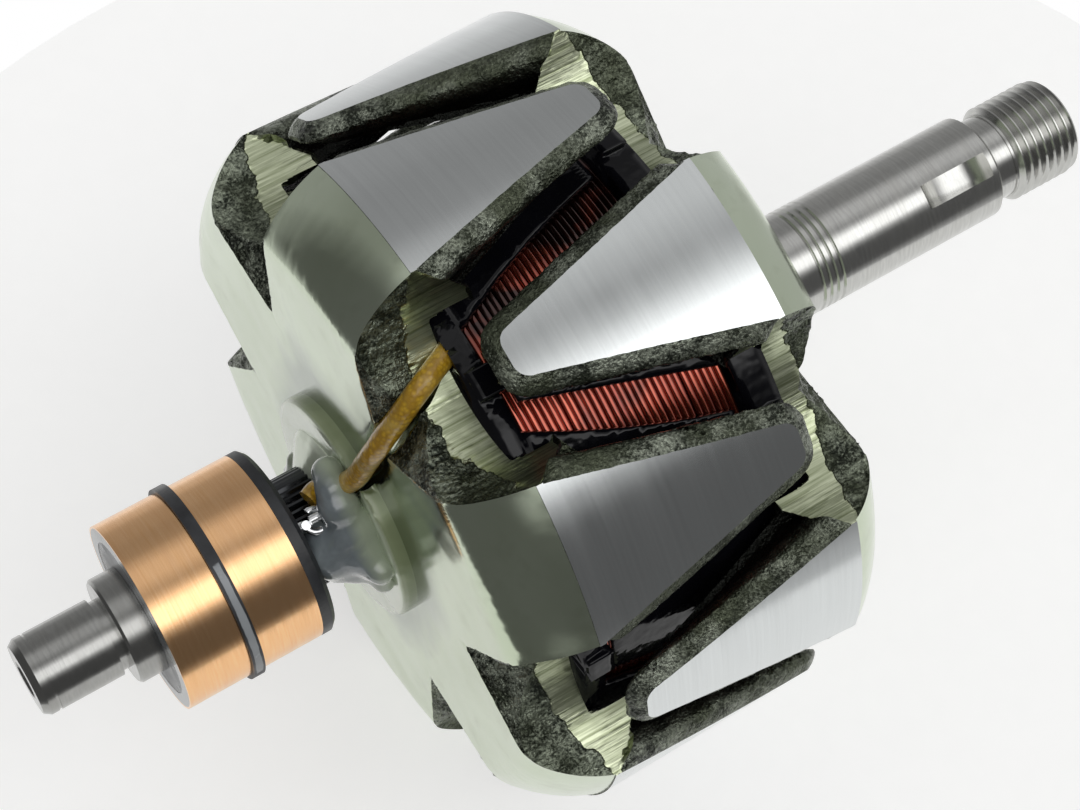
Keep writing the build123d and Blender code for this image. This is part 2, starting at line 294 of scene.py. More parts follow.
def forged_skin(m, dark, pale):
    """Colour, roughness and height of rough forging skin under varnish."""
    grain = m.noise(m.coords, scale=2300, detail=2.0, rough=0.6)
    lump = m.noise(m.coords, scale=700, detail=3.0)
    film = m.noise(m.coords, scale=60, detail=3.0, twist=0.6)
    patch = m.noise(m.coords, scale=260, detail=2.0)
    shift = m.remap(patch, 0.38, 0.62, 0.14, -0.14)
    tone = m.mix(m.remap(m.math("SUBTRACT", grain, shift), 0.36, 0.72), dark, pale)
    tone = m.mix(m.remap(film, 0.42, 0.62, 0.0, 0.8), tone, m.mix(grain, dark, (0.13, 0.15, 0.09)))
    height = m.math("ADD", grain, m.math("MULTIPLY", lump, 1.6))
    return tone, m.remap(lump, *MIDDLE, 0.16, 0.36), height


def forged_scale(name, dark, pale, painted_shade_radii=None):
    """Forging skin; the radii, if given, are where painted shade takes it from near black, towards
    the shaft, to its full colour.
    """
    m = Mat(name, Metallic=0.8)
    tone, rough, height = forged_skin(m, dark, pale)
    if painted_shade_radii:
        # painted shade: near black at and below the first radius, full colour from the second
        out = m.remap(m.radius(), painted_shade_radii[0] * MM, painted_shade_radii[1] * MM)
        tone = m.mix(out, (0.008, 0.009, 0.007), tone)
    m.put(Base_Color=tone, Roughness=rough, Normal=m.bump(height, 0.32))
    return m.mat


def trimmed_hollow(name, end):
    """The sheared edge of the forging, pale with fine marks along the shaft, and the rough skin
    that it leaves towards the end face."""
    m = Mat(name, Roughness=0.3)
    marks = m.noise(m.join(m.math("MULTIPLY", m.x, 60), m.math("MULTIPLY", m.y, 2300),
                           m.math("MULTIPLY", m.z, 2300)), detail=3.0, rough=0.6)
    cloud = m.noise(m.coords, scale=130, detail=3.0)
    bright = m.mix(m.remap(marks, 0.34, 0.62), (0.30, 0.34, 0.20), (0.70, 0.75, 0.54))
    bright = m.mix(m.remap(cloud, 0.5, 0.72, 0.0, 0.55), bright, (0.36, 0.40, 0.24))
    tone, _, height = forged_skin(m, (0.018, 0.022, 0.016), (0.36, 0.40, 0.31))
    along = m.math("MULTIPLY", m.math("SUBTRACT", m.x, end.face * MM), end.side)
    rise = m.math("MULTIPLY", m.math("SUBTRACT", m.radius(), VALLEY_R * MM), TRIM_LEAN)
    edge = m.math("ADD", rise, (end.deep - TRIM_WIDTH) * MM)
    wander = m.math("ADD", m.math("MULTIPLY", m.noise(m.coords, scale=210, detail=2.0), 4.0 * MM),
                    m.math("MULTIPLY", m.noise(m.coords, scale=900, detail=2.0), 1.2 * MM))
    past = m.math("SUBTRACT", m.math("ADD", m.math("SUBTRACT", along, edge), wander), 2.6 * MM)
    cut = m.remap(past, -0.12 * MM, 0.12 * MM)
    m.put(Base_Color=m.mix(cut, tone, bright), Metallic=m.remap(cut, 0, 1, 0.8, 1.0))
    m.put(Normal=m.bump(m.mix(cut, height, m.math("MULTIPLY", marks, 0.25)), 0.28))
    return m.mat


def copper_rings(name):
    """Turned copper, with the grey front face of the outer ring."""
    m = Mat(name)
    fine = m.noise(m.around(3200, 2.0), detail=3.0)
    wide = m.noise(m.around(420, 0.8), detail=2.0)
    tone = m.mix(m.remap(fine, *MOST), (0.90, 0.52, 0.25), (0.98, 0.61, 0.33))
    tone = m.mix(m.remap(wide, 0.4, 0.65, 0.0, 0.4), tone, (0.86, 0.50, 0.26))
    front = m.math("MULTIPLY", m.front(),
                   m.remap(m.radius(), (RING_R - 0.25) * MM, (RING_R - 0.45) * MM))
    m.put(Base_Color=m.mix(front, tone, (0.34, 0.36, 0.37)), Metallic=m.remap(front, 0, 1, 1.0, 0.4))
    m.put(Roughness=m.remap(wide, *MOST, 0.15, 0.22), Normal=m.bump(fine, 0.0015))
    return m.mat


def enamelled_wire(name):
    """Red enamel under clear varnish, with brown stains, black varnish stains, and painted shade
    that spreads the black towards the top.
    """
    m = Mat(name, Metallic=0.9, Coat_Weight=1.0, Coat_Roughness=0.06)
    stain = m.noise(m.coords, scale=130, detail=4.0, twist=0.5)
    turns = m.noise(m.around(1030, 2.0), detail=1.0)
    tone = m.mix(m.remap(turns, *MOST), (0.30, 0.045, 0.025), (0.50, 0.10, 0.05))
    # more black towards the top, by the angle round the shaft: black varnish stains and painted
    # shade
    stains_and_shade = m.remap(m.turn(), STAINS_AND_SHADE_TO[1], STAINS_AND_SHADE_TO[0], -0.06, 0.12)
    black = m.math("ADD", m.noise(m.coords, scale=70, detail=4.0, twist=0.4), stains_and_shade)
    tone = m.mix(m.remap(stain, 0.5, 0.7, 0.0, 0.5), tone, (0.12, 0.02, 0.014))
    m.put(Base_Color=m.mix(m.remap(black, 0.56, 0.68, 0.0, 0.9), tone, (0.012, 0.008, 0.008)))
    m.put(Roughness=m.remap(stain, *MIDDLE, 0.12, 0.22))
    return m.mat


def black_plastic(name):
    """The bobbin's moulding, under a rippled coat of varnish."""
    colour, rough = (0.003, 0.003, 0.0045), 0.07
    m = Mat(name, Specular_IOR_Level=0.3)
    low = m.noise(m.coords, scale=130, detail=3.0)
    fine = m.noise(m.coords, scale=900, detail=3.0)
    m.put(Base_Color=m.mix(m.remap(low, 0.4, 0.7), colour, times(colour, 1.8)))
    m.put(Roughness=m.remap(fine, *MOST, rough, rough + 0.06), Normal=m.bump(low, 0.5))
    return m.mat


def hub_plastic(name):
    """The hub's moulding, with a painted highlight, light grey, along the middle of the rib, and a
    painted reflection, light grey, on its front face; both are also a little glossier.
    """
    m = Mat(name)
    low = m.noise(m.coords, scale=220, detail=4.0)
    fine = m.noise(m.coords, scale=1600, detail=3.0)
    tone = m.mix(m.remap(low, 0.35, 0.7), (0.022, 0.023, 0.026), (0.05, 0.053, 0.06))
    # painted highlight along the rib's middle, from about 23 to 109 degrees round the shaft, and
    # painted reflection on the front face
    turn = m.math("ADD", m.turn(), m.remap(low, *MOST, -0.12, 0.12))
    middle = (RIB_X[0] + RIB_X[1]) / 2 * MM
    off = m.math("ADD", m.math("ABSOLUTE", m.math("SUBTRACT", m.x, middle)),
                 m.remap(low, *MOST, -0.12 * MM, 0.12 * MM))
    painted_sheen = m.math("MULTIPLY", m.band(turn, (0.40, 0.44), (1.9, 1.75)),
                  m.remap(off, 0.58 * MM, 0.48 * MM))
    painted_sheen = m.math("MAXIMUM", painted_sheen, m.front())
    rough = m.math("SUBTRACT", m.remap(low, *MIDDLE, 0.32, 0.5), m.math("MULTIPLY", painted_sheen, 0.2))
    m.put(Base_Color=m.mix(painted_sheen, tone, (0.36, 0.38, 0.40)), Roughness=rough)
    m.put(Normal=m.bump(fine, 0.03, normal=m.bump(low, 0.1)))
    return m.mat


def sleeve_fibre(name):
    """A woven sleeve soaked in amber varnish."""
    m = Mat(name, Coat_Weight=0.7, Coat_Roughness=0.12, Roughness=0.38)
    weave = m.cells(m.coords, 1500)
    cloud = m.noise(m.coords, scale=260, detail=3.0)
    tone = m.mix(m.remap(weave, 0.1, 0.6), (0.66, 0.40, 0.02), (0.42, 0.23, 0.01))
    m.put(Base_Color=m.mix(m.remap(cloud, 0.52, 0.72, 0.0, 0.6), tone, (0.70, 0.50, 0.12)))
    m.put(Normal=m.bump(weave, 0.12))
    return m.mat


def tin(name):
    """Bright tinned metal with a dimpled surface."""
    m = Mat(name, Metallic=1.0)
    low = m.noise(m.coords, scale=500, detail=3.0)
    m.put(Base_Color=m.mix(m.remap(low, *MOST), (0.72, 0.73, 0.74), (0.88, 0.89, 0.9)))
    m.put(Roughness=m.remap(low, *MOST, 0.1, 0.24), Normal=m.bump(low, 0.1))
    return m.mat


def resin(name):
    """Cast resin, grey by the hub and pale green by the boss."""
    m = Mat(name, Coat_Weight=1.0, Coat_Roughness=0.05, Transmission_Weight=0.15, IOR=1.5,
            Roughness=0.1)
    low = m.noise(m.coords, scale=160, detail=3.0, twist=0.5)
    green = m.math("SUBTRACT", m.remap(m.x, GREEN_X[0] * MM, GREEN_X[1] * MM),
                   m.remap(low, *MIDDLE, -0.25, 0.25))
    grey = m.mix(m.remap(low, *MIDDLE), (0.15, 0.18, 0.20), (0.27, 0.31, 0.33))
    m.put(Base_Color=m.mix(green, grey, (0.50, 0.57, 0.43)), Normal=m.bump(low, 0.4))
    return m.mat


def shaft_steel(name):
    """Turned steel, with the dark knurl, the dull stub and the dark fine grooves."""
    colour = (0.60, 0.60, 0.58)
    m = Mat(name, Metallic=1.0)
    fine = m.noise(m.around(2400, 2.0), detail=3.0)
    wide = m.noise(m.around(300, 1.0), detail=3.0)
    tone = m.mix(m.remap(fine, *MOST), times(colour, 0.84), colour)
    tone = m.mix(m.remap(wide, 0.45, 0.7, 0.0, 0.3), tone, (0.5, 0.49, 0.46))
    knurl = m.band(m.x, ((KNURL_X[0] - 0.2) * MM, KNURL_X[0] * MM),
                   ((KNURL_X[1] + 2) * MM, KNURL_X[1] * MM))
    tone = m.mix(knurl, tone, (0.045, 0.047, 0.05))
    dull = m.remap(m.x, DULL_X * MM, (DULL_X - 0.5) * MM, 0.0, 0.42)
    tone = m.mix(dull, tone, (0.10, 0.10, 0.095))
    by_seat = m.band(m.x, ((MARKS_X[0] - 0.2) * MM, MARKS_X[0] * MM),
                     ((MARKS_X[1] + 0.2) * MM, MARKS_X[1] * MM))
    cut = m.math("MULTIPLY", by_seat,
                 m.remap(m.radius(), (SEAT_R - 0.03) * MM, (SEAT_R - 0.1) * MM))
    m.put(Base_Color=m.mix(cut, tone, (0.03, 0.03, 0.03)))
    m.put(Roughness=m.remap(wide, *MOST, 0.14, 0.22), Normal=m.bump(fine, 0.0015))
    return m.mat


GROUND = ground_steel("ground_claw_faces", (0.72, 0.745, 0.745), 0.16, 1900, 0.00056)
VARNISH = varnished_steel("varnished_forging")
POOL = varnish_pool("varnish_pool")
# the claws' sides get painted shade: near black below radius 49.8, full colour from 53.2
SIDES = forged_scale("forged_sides", (0.022, 0.026, 0.019), (0.34, 0.37, 0.30), (49.8, 53.2))
SCOOP = forged_scale("forged_hollows", (0.018, 0.022, 0.016), (0.44, 0.48, 0.39))
INSIDE = forged_scale("pole_insides", (0.008, 0.008, 0.008), (0.03, 0.03, 0.028))
SHAFT = shaft_steel("shaft_steel")
BLACK = black_plastic("bobbin_black")
WIRE = enamelled_wire("winding_wire")
HUB = hub_plastic("hub_plastic")
COPPER = copper_rings("slip_ring_copper")
TIN = tin("tinned_metal")
SLEEVE = sleeve_fibre("varnished_sleeve")
RESIN = resin("cast_resin")
CORE = ground_steel("core_steel", (0.35, 0.35, 0.34), 0.35, 900, 0.0024)


def paint(node, mat):
    mesh = nodes[node].data
    mesh.materials.clear()
    mesh.materials.append(mat)


paint("shaft", SHAFT)
paint("field_core", CORE)
paint("bobbin", BLACK)
paint("slip_ring_hub", HUB)
paint("field_winding", WIRE)
for ring in ("outer", "inner"):
    paint(f"{ring}_slip_ring", COPPER)
    paint(f"{ring}_ring_terminal", TIN)
for lead in ("start", "finish"):
    paint(f"{lead}_lead_wire", TIN)
    paint(f"{lead}_lead_sleeve", SLEEVE)
    paint(f"{lead}_lead_potting", RESIN)


def new_piece(name, mesh, mats, slot, *replaced):
    """Puts a piece in the scene, with the CAD nodes that it stands in for."""
    piece = bpy.data.objects.new(name, mesh)
    bpy.context.scene.collection.objects.link(piece)
    for mat in mats:
        mesh.materials.append(mat)
    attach(piece, "root")
    if replaced:
        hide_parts(*replaced)


def mesh_of(name, bm):
    mesh = bpy.data.meshes.new(name)
    bm.to_mesh(mesh)
    bm.free()
    return mesh


def smooth_mesh(name, verts, faces):
    mesh = bpy.data.meshes.new(name)
    mesh.from_pydata(verts, [], faces)
    mesh.polygons.foreach_set("use_smooth", [True] * len(faces))
    return mesh


def place(x, radius, angle):
    """The point at a distance from the shaft's middle line and an angle round it."""
    a = math.radians(angle)
    return Vector((x, -radius * math.sin(a), radius * math.cos(a)))


def radius_of(p):
    return math.hypot(p.y, p.z)


def angle_of(p):
    return math.degrees(math.atan2(-p.y, p.z))


def nearest_claw(angle, end):
    return end.claw + CLAW_PITCH * round((angle - end.claw) / CLAW_PITCH)


def between(pair, part):
    return pair[0] + (pair[1] - pair[0]) * part


def smoothstep(value):
    value = min(max(value, 0.0), 1.0)
    return value * value * (3 - 2 * value)


# pole pieces: the CAD's faces are sorted by kind and divided, so that the skin is real geometry;
# what lies within ON_FACE of the end face's plane is on it, and the reaches are radii

GROUND_AT, VARNISH_AT, TRIM_AT, SCOOP_AT, SIDE_AT, INSIDE_AT, POOL_AT = range(7)
PLAIN = {GROUND_AT, INSIDE_AT}
ON_FACE = 0.05
BOSS_REACH = 20.0
SCOOP_REACH = (28.0, 47.0)


def refine(bm, limit, wanted):
    """Halves the wanted edges until none of them is longer than the limit."""
    for _ in range(9):
        bmesh.ops.triangulate(bm, faces=[f for f in bm.faces if len(f.verts) > 3])
        long = [e for e in bm.edges if e.calc_length() > limit and wanted(e)]
        if not long:
            break
        bmesh.ops.subdivide_edges(bm, edges=long, cuts=1, use_grid_fill=False)
    bmesh.ops.triangulate(bm, faces=[f for f in bm.faces if len(f.verts) > 3])


def patches(bm):
    """The CAD's faces, each a list of facets, as the import leaves them unjoined."""
    seen = set()
    for first in bm.faces:
        if first.index in seen:
            continue
        seen.add(first.index)
        todo, patch = [first], []
        while todo:
            face = todo.pop()
            patch.append(face)
            for edge in face.edges:
                for other in edge.link_faces:
                    if other.index not in seen:
                        seen.add(other.index)
                        todo.append(other)
        yield patch


def kind_of(patch, end):
    """Which surface of the forging a CAD face is, from where it lies and how it faces."""
    area = along = outward = 0.0
    radii, depths = [], []
    for f in patch:
        c = f.calc_center_median()
        a = f.calc_area()
        area += a
        along += f.normal.x * a
        outward += f.normal.dot(Vector((0, c.y, c.z)).normalized()) * a
        for v in f.verts:
            radii.append(radius_of(v.co) / MM)
            depths.append(end.behind(v.co.x / MM))
    along, outward = along / area * end.side, outward / area
    low, high, deepest = min(radii), max(radii), max(depths)
    if outward > 0.9 and low > ROTOR_R - 0.2:
        return GROUND_AT
    if high < BOSS_REACH and deepest < end.deep:
        return POOL_AT if outward > -0.5 else INSIDE_AT
    flat_face = along < -0.99 and deepest < ON_FACE
    shoulder = low > FACE_R - 0.1 and along < -0.4 and outward > 0.6 and deepest < end.deep
    if flat_face or shoulder:
        return VARNISH_AT
    if abs(along) < 0.1 and outward > 0.0 and deepest < end.deep + 5:
        return TRIM_AT
    if along < -0.4 and low > SCOOP_REACH[0] and high < SCOOP_REACH[1]:
        return SCOOP_AT
    if outward < -0.8 or along > 0.99 and low < 10:
        return INSIDE_AT
    return VARNISH_AT if low < SCOOP_REACH[0] else SIDE_AT


def kinds_at(v):
    return {f.material_index for f in v.link_faces}


def rounded_shoulder(p, end):
    """Takes a point near the corner of the end face and the shoulder to the round between them."""
    u, r = end.behind(p.x), radius_of(p)
    away = Vector((u, r - FACE_R))
    if u < -ON_FACE or away.length > 4 or u < ON_FACE and away.y > ON_FACE:
        return p
    chord = Vector((end.deep, ROTOR_R - FACE_R))
    lean = math.atan2(chord.y, chord.x) + 2 * math.atan(2 * SHOULDER_BULGE / chord.length)
    face, shoulder = Vector((0, -1)), Vector((math.cos(lean), math.sin(lean)))
    if u >= ON_FACE:
        shoulder = away.normalized()
    side = face if u < ON_FACE else shoulder
    half = face.angle(shoulder) / 2
    reach = SHOULDER_ROUND / math.tan(half)
    part = away.length / reach
    if part >= 1:
        return p
    middle = (face + shoulder).normalized()
    centre = middle * (SHOULDER_ROUND / math.sin(half))
    spoke = (side * reach - centre).normalized() * part - middle * (1 - part)
    new = centre + spoke.normalized() * SHOULDER_ROUND
    scale = (FACE_R + new.y) / r
    return Vector((end.face + new.x * end.side, p.y * scale, p.z * scale))


def soften(bm, end):
    """Rounds the shoulder, and takes the sharpness off the varnished edges."""
    for v in bm.verts:
        if VARNISH_AT in kinds_at(v):
            v.co = rounded_shoulder(v.co / MM, end) * MM
    for kinds, rounds in (({VARNISH_AT, SCOOP_AT}, 7), ({POOL_AT}, 3)):
        soft = [v for v in bm.verts if kinds_at(v) <= kinds]
        for _ in range(rounds):
            bmesh.ops.smooth_vert(bm, verts=soft, factor=0.5, use_axis_x=True, use_axis_y=True,
                                  use_axis_z=True)


def claw_move(p, out, kinds, end):
    """How a point of a claw moves, in millimetres, so that its edge has the forging's rounded
    form: widest just under the ground face and drawn in below."""
    u = end.behind(p.x) - end.deep
    fade = smoothstep((u - 0.2) / 2.6)
    if fade == 0.0:
        return Vector()
    part = min(max(u / CLAW_LEN, 0.0), 1.0)
    half, thick = between(CLAW_HALF, part), between(CLAW_THICK, part)
    up = place(0, 1, nearest_claw(angle_of(p), end))
    across = Vector((0, -up.z, up.y))
    wide = half + thick * CLAW_DRAFT
    deepest = ROTOR_R - math.hypot(ROTOR_R - thick, wide)
    if SIDE_AT in kinds:
        depth = min(ROTOR_R - radius_of(p), deepest)
        if depth < EDGE_DEPTH:
            now = EDGE_OUT * math.sin(math.pi / 2 * depth / EDGE_DEPTH) ** 0.8
        else:
            fall = (depth - EDGE_DEPTH) / max(deepest - EDGE_DEPTH, 0.4)
            now = EDGE_OUT + (EDGE_IN - EDGE_OUT) * min(fall, 1.0) ** 1.3
        way = (out - up * out.dot(up)).normalized()
        return way * (now - depth * CLAW_DRAFT) * fade
    shift = across * p.dot(across) * ((half + EDGE_IN) / wide - 1.0) * fade
    pull = (EDGE_IN - thick * CLAW_DRAFT) * smoothstep((u - CLAW_LEN + 7) / 8)
    return shift + Vector((pull * end.side, 0, 0))


def shape_claws(bm, end):
    """Moves the claws' sides and undersides, all by the normals that they start with."""
    moves = []
    for v in bm.verts:
        kinds = kinds_at(v)
        if kinds & {GROUND_AT, VARNISH_AT, POOL_AT} or not kinds & {SIDE_AT, INSIDE_AT}:
            continue
        sides = [f.normal for f in v.link_faces if f.material_index == SIDE_AT]
        if not sides and radius_of(v.co) < (COIL_R + 1.5) * MM:
            continue
        moves.append((v, claw_move(v.co / MM, sum(sides, Vector()), kinds, end) * MM))
    for v, move in moves:
        v.co += move


# how high the skin's lumps stand on each rough surface, and how far the ground edge wavers

LUMPS = {SCOOP_AT: 0.38, SIDE_AT: 0.16, TRIM_AT: 0.38}
WAVER = 0.07


def roughen(bm, end):
    """Gives the forged surfaces their lumps, fewer on the sheared band."""
    moves = []
    for v in bm.verts:
        kinds = kinds_at(v)
        p = v.co / MM
        lump = noise.noise(p * 0.45) * 0.8 + noise.noise(p * 1.3) * 0.9
        if kinds == {GROUND_AT, SIDE_AT}:
            across = Vector((0, -p.z, p.y)).normalized()
            moves.append((v, across * WAVER * lump * MM))
            continue
        if kinds & {GROUND_AT, VARNISH_AT, INSIDE_AT, POOL_AT}:
            continue
        amount = min(LUMPS.get(kind, 0.0) for kind in kinds)
        if TRIM_AT in kinds:
            edge = end.deep - TRIM_WIDTH + (radius_of(p) - VALLEY_R) * TRIM_LEAN
            amount *= 1 - 0.9 * smoothstep((end.behind(p.x) - edge) / 1.2 + 0.5)
        moves.append((v, v.normal * amount * (lump - 0.3) * MM))
    for v, move in moves:
        v.co += move


def turn_down(bm):
    """Takes the ground faces, and all that stands past them, to the turned radius."""
    for v in bm.verts:
        r = radius_of(v.co)
        if r > TURNED_R * MM or GROUND_AT in kinds_at(v):
            v.co.y *= TURNED_R * MM / r
            v.co.z *= TURNED_R * MM / r


def mark_edges(bm):
    """Smooth shading within a kind and between the rough ones, unless the edge is sharp."""
    for f in bm.faces:
        f.smooth = True
    soft = {TRIM_AT, SCOOP_AT, SIDE_AT, INSIDE_AT}
    for e in bm.edges:
        kinds = {f.material_index for f in e.link_faces}
        same = len(kinds) == 1 or kinds <= soft or kinds == {VARNISH_AT, SCOOP_AT}
        e.smooth = same and e.calc_face_angle(0.0) < math.radians(34)


def turned_normals(mesh):
    """Gives the ground faces the true normals of the turned cylinder."""
    normals = [Vector()] * len(mesh.loops)
    for polygon in mesh.polygons:
        if polygon.material_index == GROUND_AT:
            for i in polygon.loop_indices:
                co = mesh.vertices[mesh.loops[i].vertex_index].co
                normals[i] = Vector((0, co.y, co.z)).normalized()
    mesh.normals_split_custom_set(normals)


def pole(node, end, hollow):
    """One pole piece with its rounded corners, claw edges and forged skin."""
    bm = bmesh.new()
    bm.from_mesh(nodes[node].data)
    for patch in patches(bm):
        kind = kind_of(patch, end)
        for f in patch:
            f.material_index = kind
    bmesh.ops.remove_doubles(bm, verts=bm.verts, dist=JOIN * MM)
    refine(bm, SKIN_GRAIN * MM, lambda e: any(f.material_index not in PLAIN for f in e.link_faces))
    soften(bm, end)
    bm.normal_update()
    shape_claws(bm, end)
    bm.normal_update()
    roughen(bm, end)
    turn_down(bm)
    mark_edges(bm)
    mesh = mesh_of(node + "_detail", bm)
    turned_normals(mesh)
    new_piece(node + "_detail", mesh, [GROUND, VARNISH, hollow, SCOOP, SIDES, INSIDE, POOL],
              "forged_pole_steel", node)


pole("slip_end_pole", SLIP, trimmed_hollow("slip_end_hollows", SLIP))
pole("drive_end_pole", DRIVE, trimmed_hollow("drive_end_hollows", DRIVE))


# bobbin: the half angle that takes in a tongue at its root and at its tip, and how much of its
# width is gone at the tip

TONGUE_REACH = (21.5, 8.5)
TONGUE_NARROW = 0.42


def make_bobbin():
    """The moulding, softened by varnish, with its tongues drawn in towards their tips."""
    bm = bmesh.new()
    bm.from_mesh(nodes["bobbin"].data)
    bmesh.ops.remove_doubles(bm, verts=bm.verts, dist=JOIN * MM)
    refine(bm, BOBBIN_GRAIN * MM, lambda e: all(radius_of(v.co) > COIL_R * MM for v in e.verts))
    length = COIL_X[1] - COIL_X[0]
    for v in bm.verts:
        p = v.co / MM
        r = radius_of(p)
        if r < COIL_R + 0.2 or not COIL_X[0] + 0.3 < p.x < COIL_X[1] - 0.3:
            continue
        part = (p.x - COIL_X[0]) / length
        middle = nearest_claw(angle_of(p), SLIP)
        off = angle_of(p) - middle
        if abs(off) <= between(TONGUE_REACH, part):
            v.co = place(p.x, r, middle + off * (1 - TONGUE_NARROW * part)) * MM
    for f in bm.faces:
        f.smooth = True
    mesh = mesh_of("bobbin_detail", bm)
    mesh.set_sharp_from_angle(angle=math.radians(50))
    new_piece("bobbin_detail", mesh, [BLACK], "bobbin_nylon", "bobbin")


make_bobbin()


# winding: every visible turn is a wire, with a second layer under the first

WIRE_PITCH = 0.97
WIRE_R = 0.49
UNDER_WIRE_R = 0.47
WIRE_SIDES = 8
WIRE_STEPS = 150


def turns_mesh(name, turns):
    """One mesh of closed wires; each turn is (x, radius, wire radius, lean)."""
    verts, faces = [], []
    for x, radius, wire, lean in turns:
        base = len(verts)
        for i in range(WIRE_STEPS):
            a = 2 * math.pi * i / WIRE_STEPS
            shift = lean * math.sin(a + 0.6)
            wobble = 0.03 * math.sin(3 * a + x)
            for j in range(WIRE_SIDES):
                b = 2 * math.pi * j / WIRE_SIDES
                r = radius + wobble + wire * math.sin(b)
                verts.append(((x + shift + wire * math.cos(b)) * MM, -r * math.sin(a) * MM,
                              r * math.cos(a) * MM))
        for i in range(WIRE_STEPS):
            here = base + i * WIRE_SIDES
            ahead = base + (i + 1) % WIRE_STEPS * WIRE_SIDES
            for j in range(WIRE_SIDES):
                k = (j + 1) % WIRE_SIDES
                faces.append((here + j, here + k, ahead + k, ahead + j))
    return smooth_mesh(name, verts, faces)


def make_winding():
    rng = np.random.default_rng(7)
    count = int((COIL_X[1] - COIL_X[0] - 0.6) / WIRE_PITCH)
    start = (COIL_X[0] + COIL_X[1] - (count - 1) * WIRE_PITCH) / 2
    turns = []
    for i in range(count):
        jog = rng.normal(0, 0.03)
        drop = abs(rng.normal(0, 0.04))
        lean = float(rng.normal(0, 0.04))
        turns.append((start + i * WIRE_PITCH + jog, COIL_R - 0.48 - drop, WIRE_R, lean))
    for i in range(count - 1):
        turns.append((start + (i + 0.5) * WIRE_PITCH, COIL_R - 1.4, UNDER_WIRE_R, 0.0))
    new_piece("winding_turns", turns_mesh("winding_turns", turns), [WIRE], "enamelled_copper",
              "field_winding")


make_winding()


# leads and resin: each point is (x, radius, angle), and each ball of resin has its own radius
# after that; the resin on the far side is smaller by FAR_RESIN

LEAD_R = 1.62
LEAD_SIDES = 24
LEAD = [(-76.9, 42.0, 11.1), (-80.9, 42.4, 13.8), (-83.8, 42.6, 15.6), (-86.4, 40.8, 17.0),
        (-88.9, 36.6, 18.2), (-91.2, 31.8, 19.5), (-91.9, 26.4, 19.6), (-93.0, 21.0, 20.2),
        (-94.6, 15.4, 17.0), (-96.6, 12.0, 9.5), (-98.4, 11.8, 12.0)]
RESIN_BALLS = [(-97.3, 10.3, 47, 4.7), (-95.2, 12.4, 41, 4.4), (-95.0, 12.2, 58, 4.0),
               (-98.8, 10.4, 58, 3.6), (-99.4, 10.2, 45, 2.9), (-95.6, 10.4, 73, 3.6),
               (-98.2, 9.6, 71, 3.0), (-101.0, 11.6, 50, 1.8), (-101.8, 12.0, 53, 1.4),
               (-94.2, 13.2, 2, 2.2), (-95.0, 16.4, 9, 2.5), (-95.8, 17.2, 17, 2.6),
               (-96.0, 15.8, 26, 3.2), (-94.2, 15.2, 70, 2.3), (-93.8, 14.2, 84, 2.0)]
FAR_RESIN = 0.8
RESIN_GRAIN = 0.42


def smooth_path(points, steps):
    """Points along a smooth line through the given ones."""
    out = []
    pts = [2 * points[0] - points[1]] + points + [2 * points[-1] - points[-2]]
    for i in range(1, len(pts) - 2):
        a, b, c, d = pts[i - 1:i + 3]
        for k in range(steps):
            t = k / steps
            out.append(0.5 * ((2 * b) + (c - a) * t + (2 * a - 5 * b + 4 * c - d) * t * t
                              + (3 * b - a - 3 * c + d) * t ** 3))
    out.append(points[-1])
    return out


def tube(name, path, radius, sides):
    """A closed tube of slightly uneven thickness along a path."""
    verts, faces = [], []
    up = Vector((0.3, 0.9, 0.2))
    for i, p in enumerate(path):
        ahead = (path[min(i + 1, len(path) - 1)] - path[max(i - 1, 0)]).normalized()
        up = (up - ahead * up.dot(ahead)).normalized()
        side = ahead.cross(up)
        for j in range(sides):
            b = 2 * math.pi * j / sides
            way = math.cos(b) * up + math.sin(b) * side
            r = radius * (1 + 0.03 * noise.noise((p + way) * 0.7))
            verts.append((p + way * r) * MM)
    count = len(path)
    for i in range(count - 1):
        for j in range(sides):
            k = (j + 1) % sides
            faces.append((i * sides + j, i * sides + k, (i + 1) * sides + k, (i + 1) * sides + j))
    faces.append(tuple(reversed(range(sides))))
    faces.append(tuple((count - 1) * sides + j for j in range(sides)))
    mesh = smooth_mesh(name, verts, faces)
    mesh.set_sharp_from_angle(angle=math.radians(50))
    return mesh


def blob(name, balls):
    """Balls (centre, radius) melted into one skin, as cast resin."""
    bm = bmesh.new()
    for centre, radius in balls:
        bmesh.ops.create_icosphere(bm, subdivisions=3, radius=radius * MM,
                                   matrix=Matrix.Translation(centre * MM))
    rough = bpy.data.objects.new(name + "_raw", mesh_of(name + "_raw", bm))
    bpy.context.scene.collection.objects.link(rough)
    melt = rough.modifiers.new("melt", "REMESH")
    melt.mode = "VOXEL"
    melt.voxel_size = RESIN_GRAIN * MM
    ease = rough.modifiers.new("ease", "SMOOTH")
    ease.factor = 0.6
    ease.iterations = 26
    graph = bpy.context.evaluated_depsgraph_get()
    done = bpy.data.meshes.new_from_object(rough.evaluated_get(graph))
    bpy.data.objects.remove(rough)
    done.name = name
    done.polygons.foreach_set("use_smooth", [True] * len(done.polygons))
    return done


def make_leads():
    for side, turn, full in (("start", 0, 1.0), ("finish", 180, FAR_RESIN)):
        path = smooth_path([place(x, r, a + turn) for x, r, a in LEAD], 16)
        cover, lump = f"{side}_lead_cover", f"{side}_lead_resin"
        new_piece(cover, tube(cover, path, LEAD_R, LEAD_SIDES), [SLEEVE], "lead_sleeve",
                  f"{side}_lead_sleeve")
        balls = [(place(x, r * full, a + turn), size * full) for x, r, a, size in RESIN_BALLS]
        new_piece(lump, blob(lump, balls), [RESIN], "potting_resin", f"{side}_lead_potting")


make_leads()


# the varnish that stands round the shaft in front of the boss, as an outline of (x, radius)

FILLET = [(-92.4, 8.1), (-92.6, 12.6), (-93.4, 12.4), (-94.1, 11.4), (-94.8, 10.2), (-95.4, 9.2),
          (-95.8, 8.1)]
FILLET_STEPS = 150


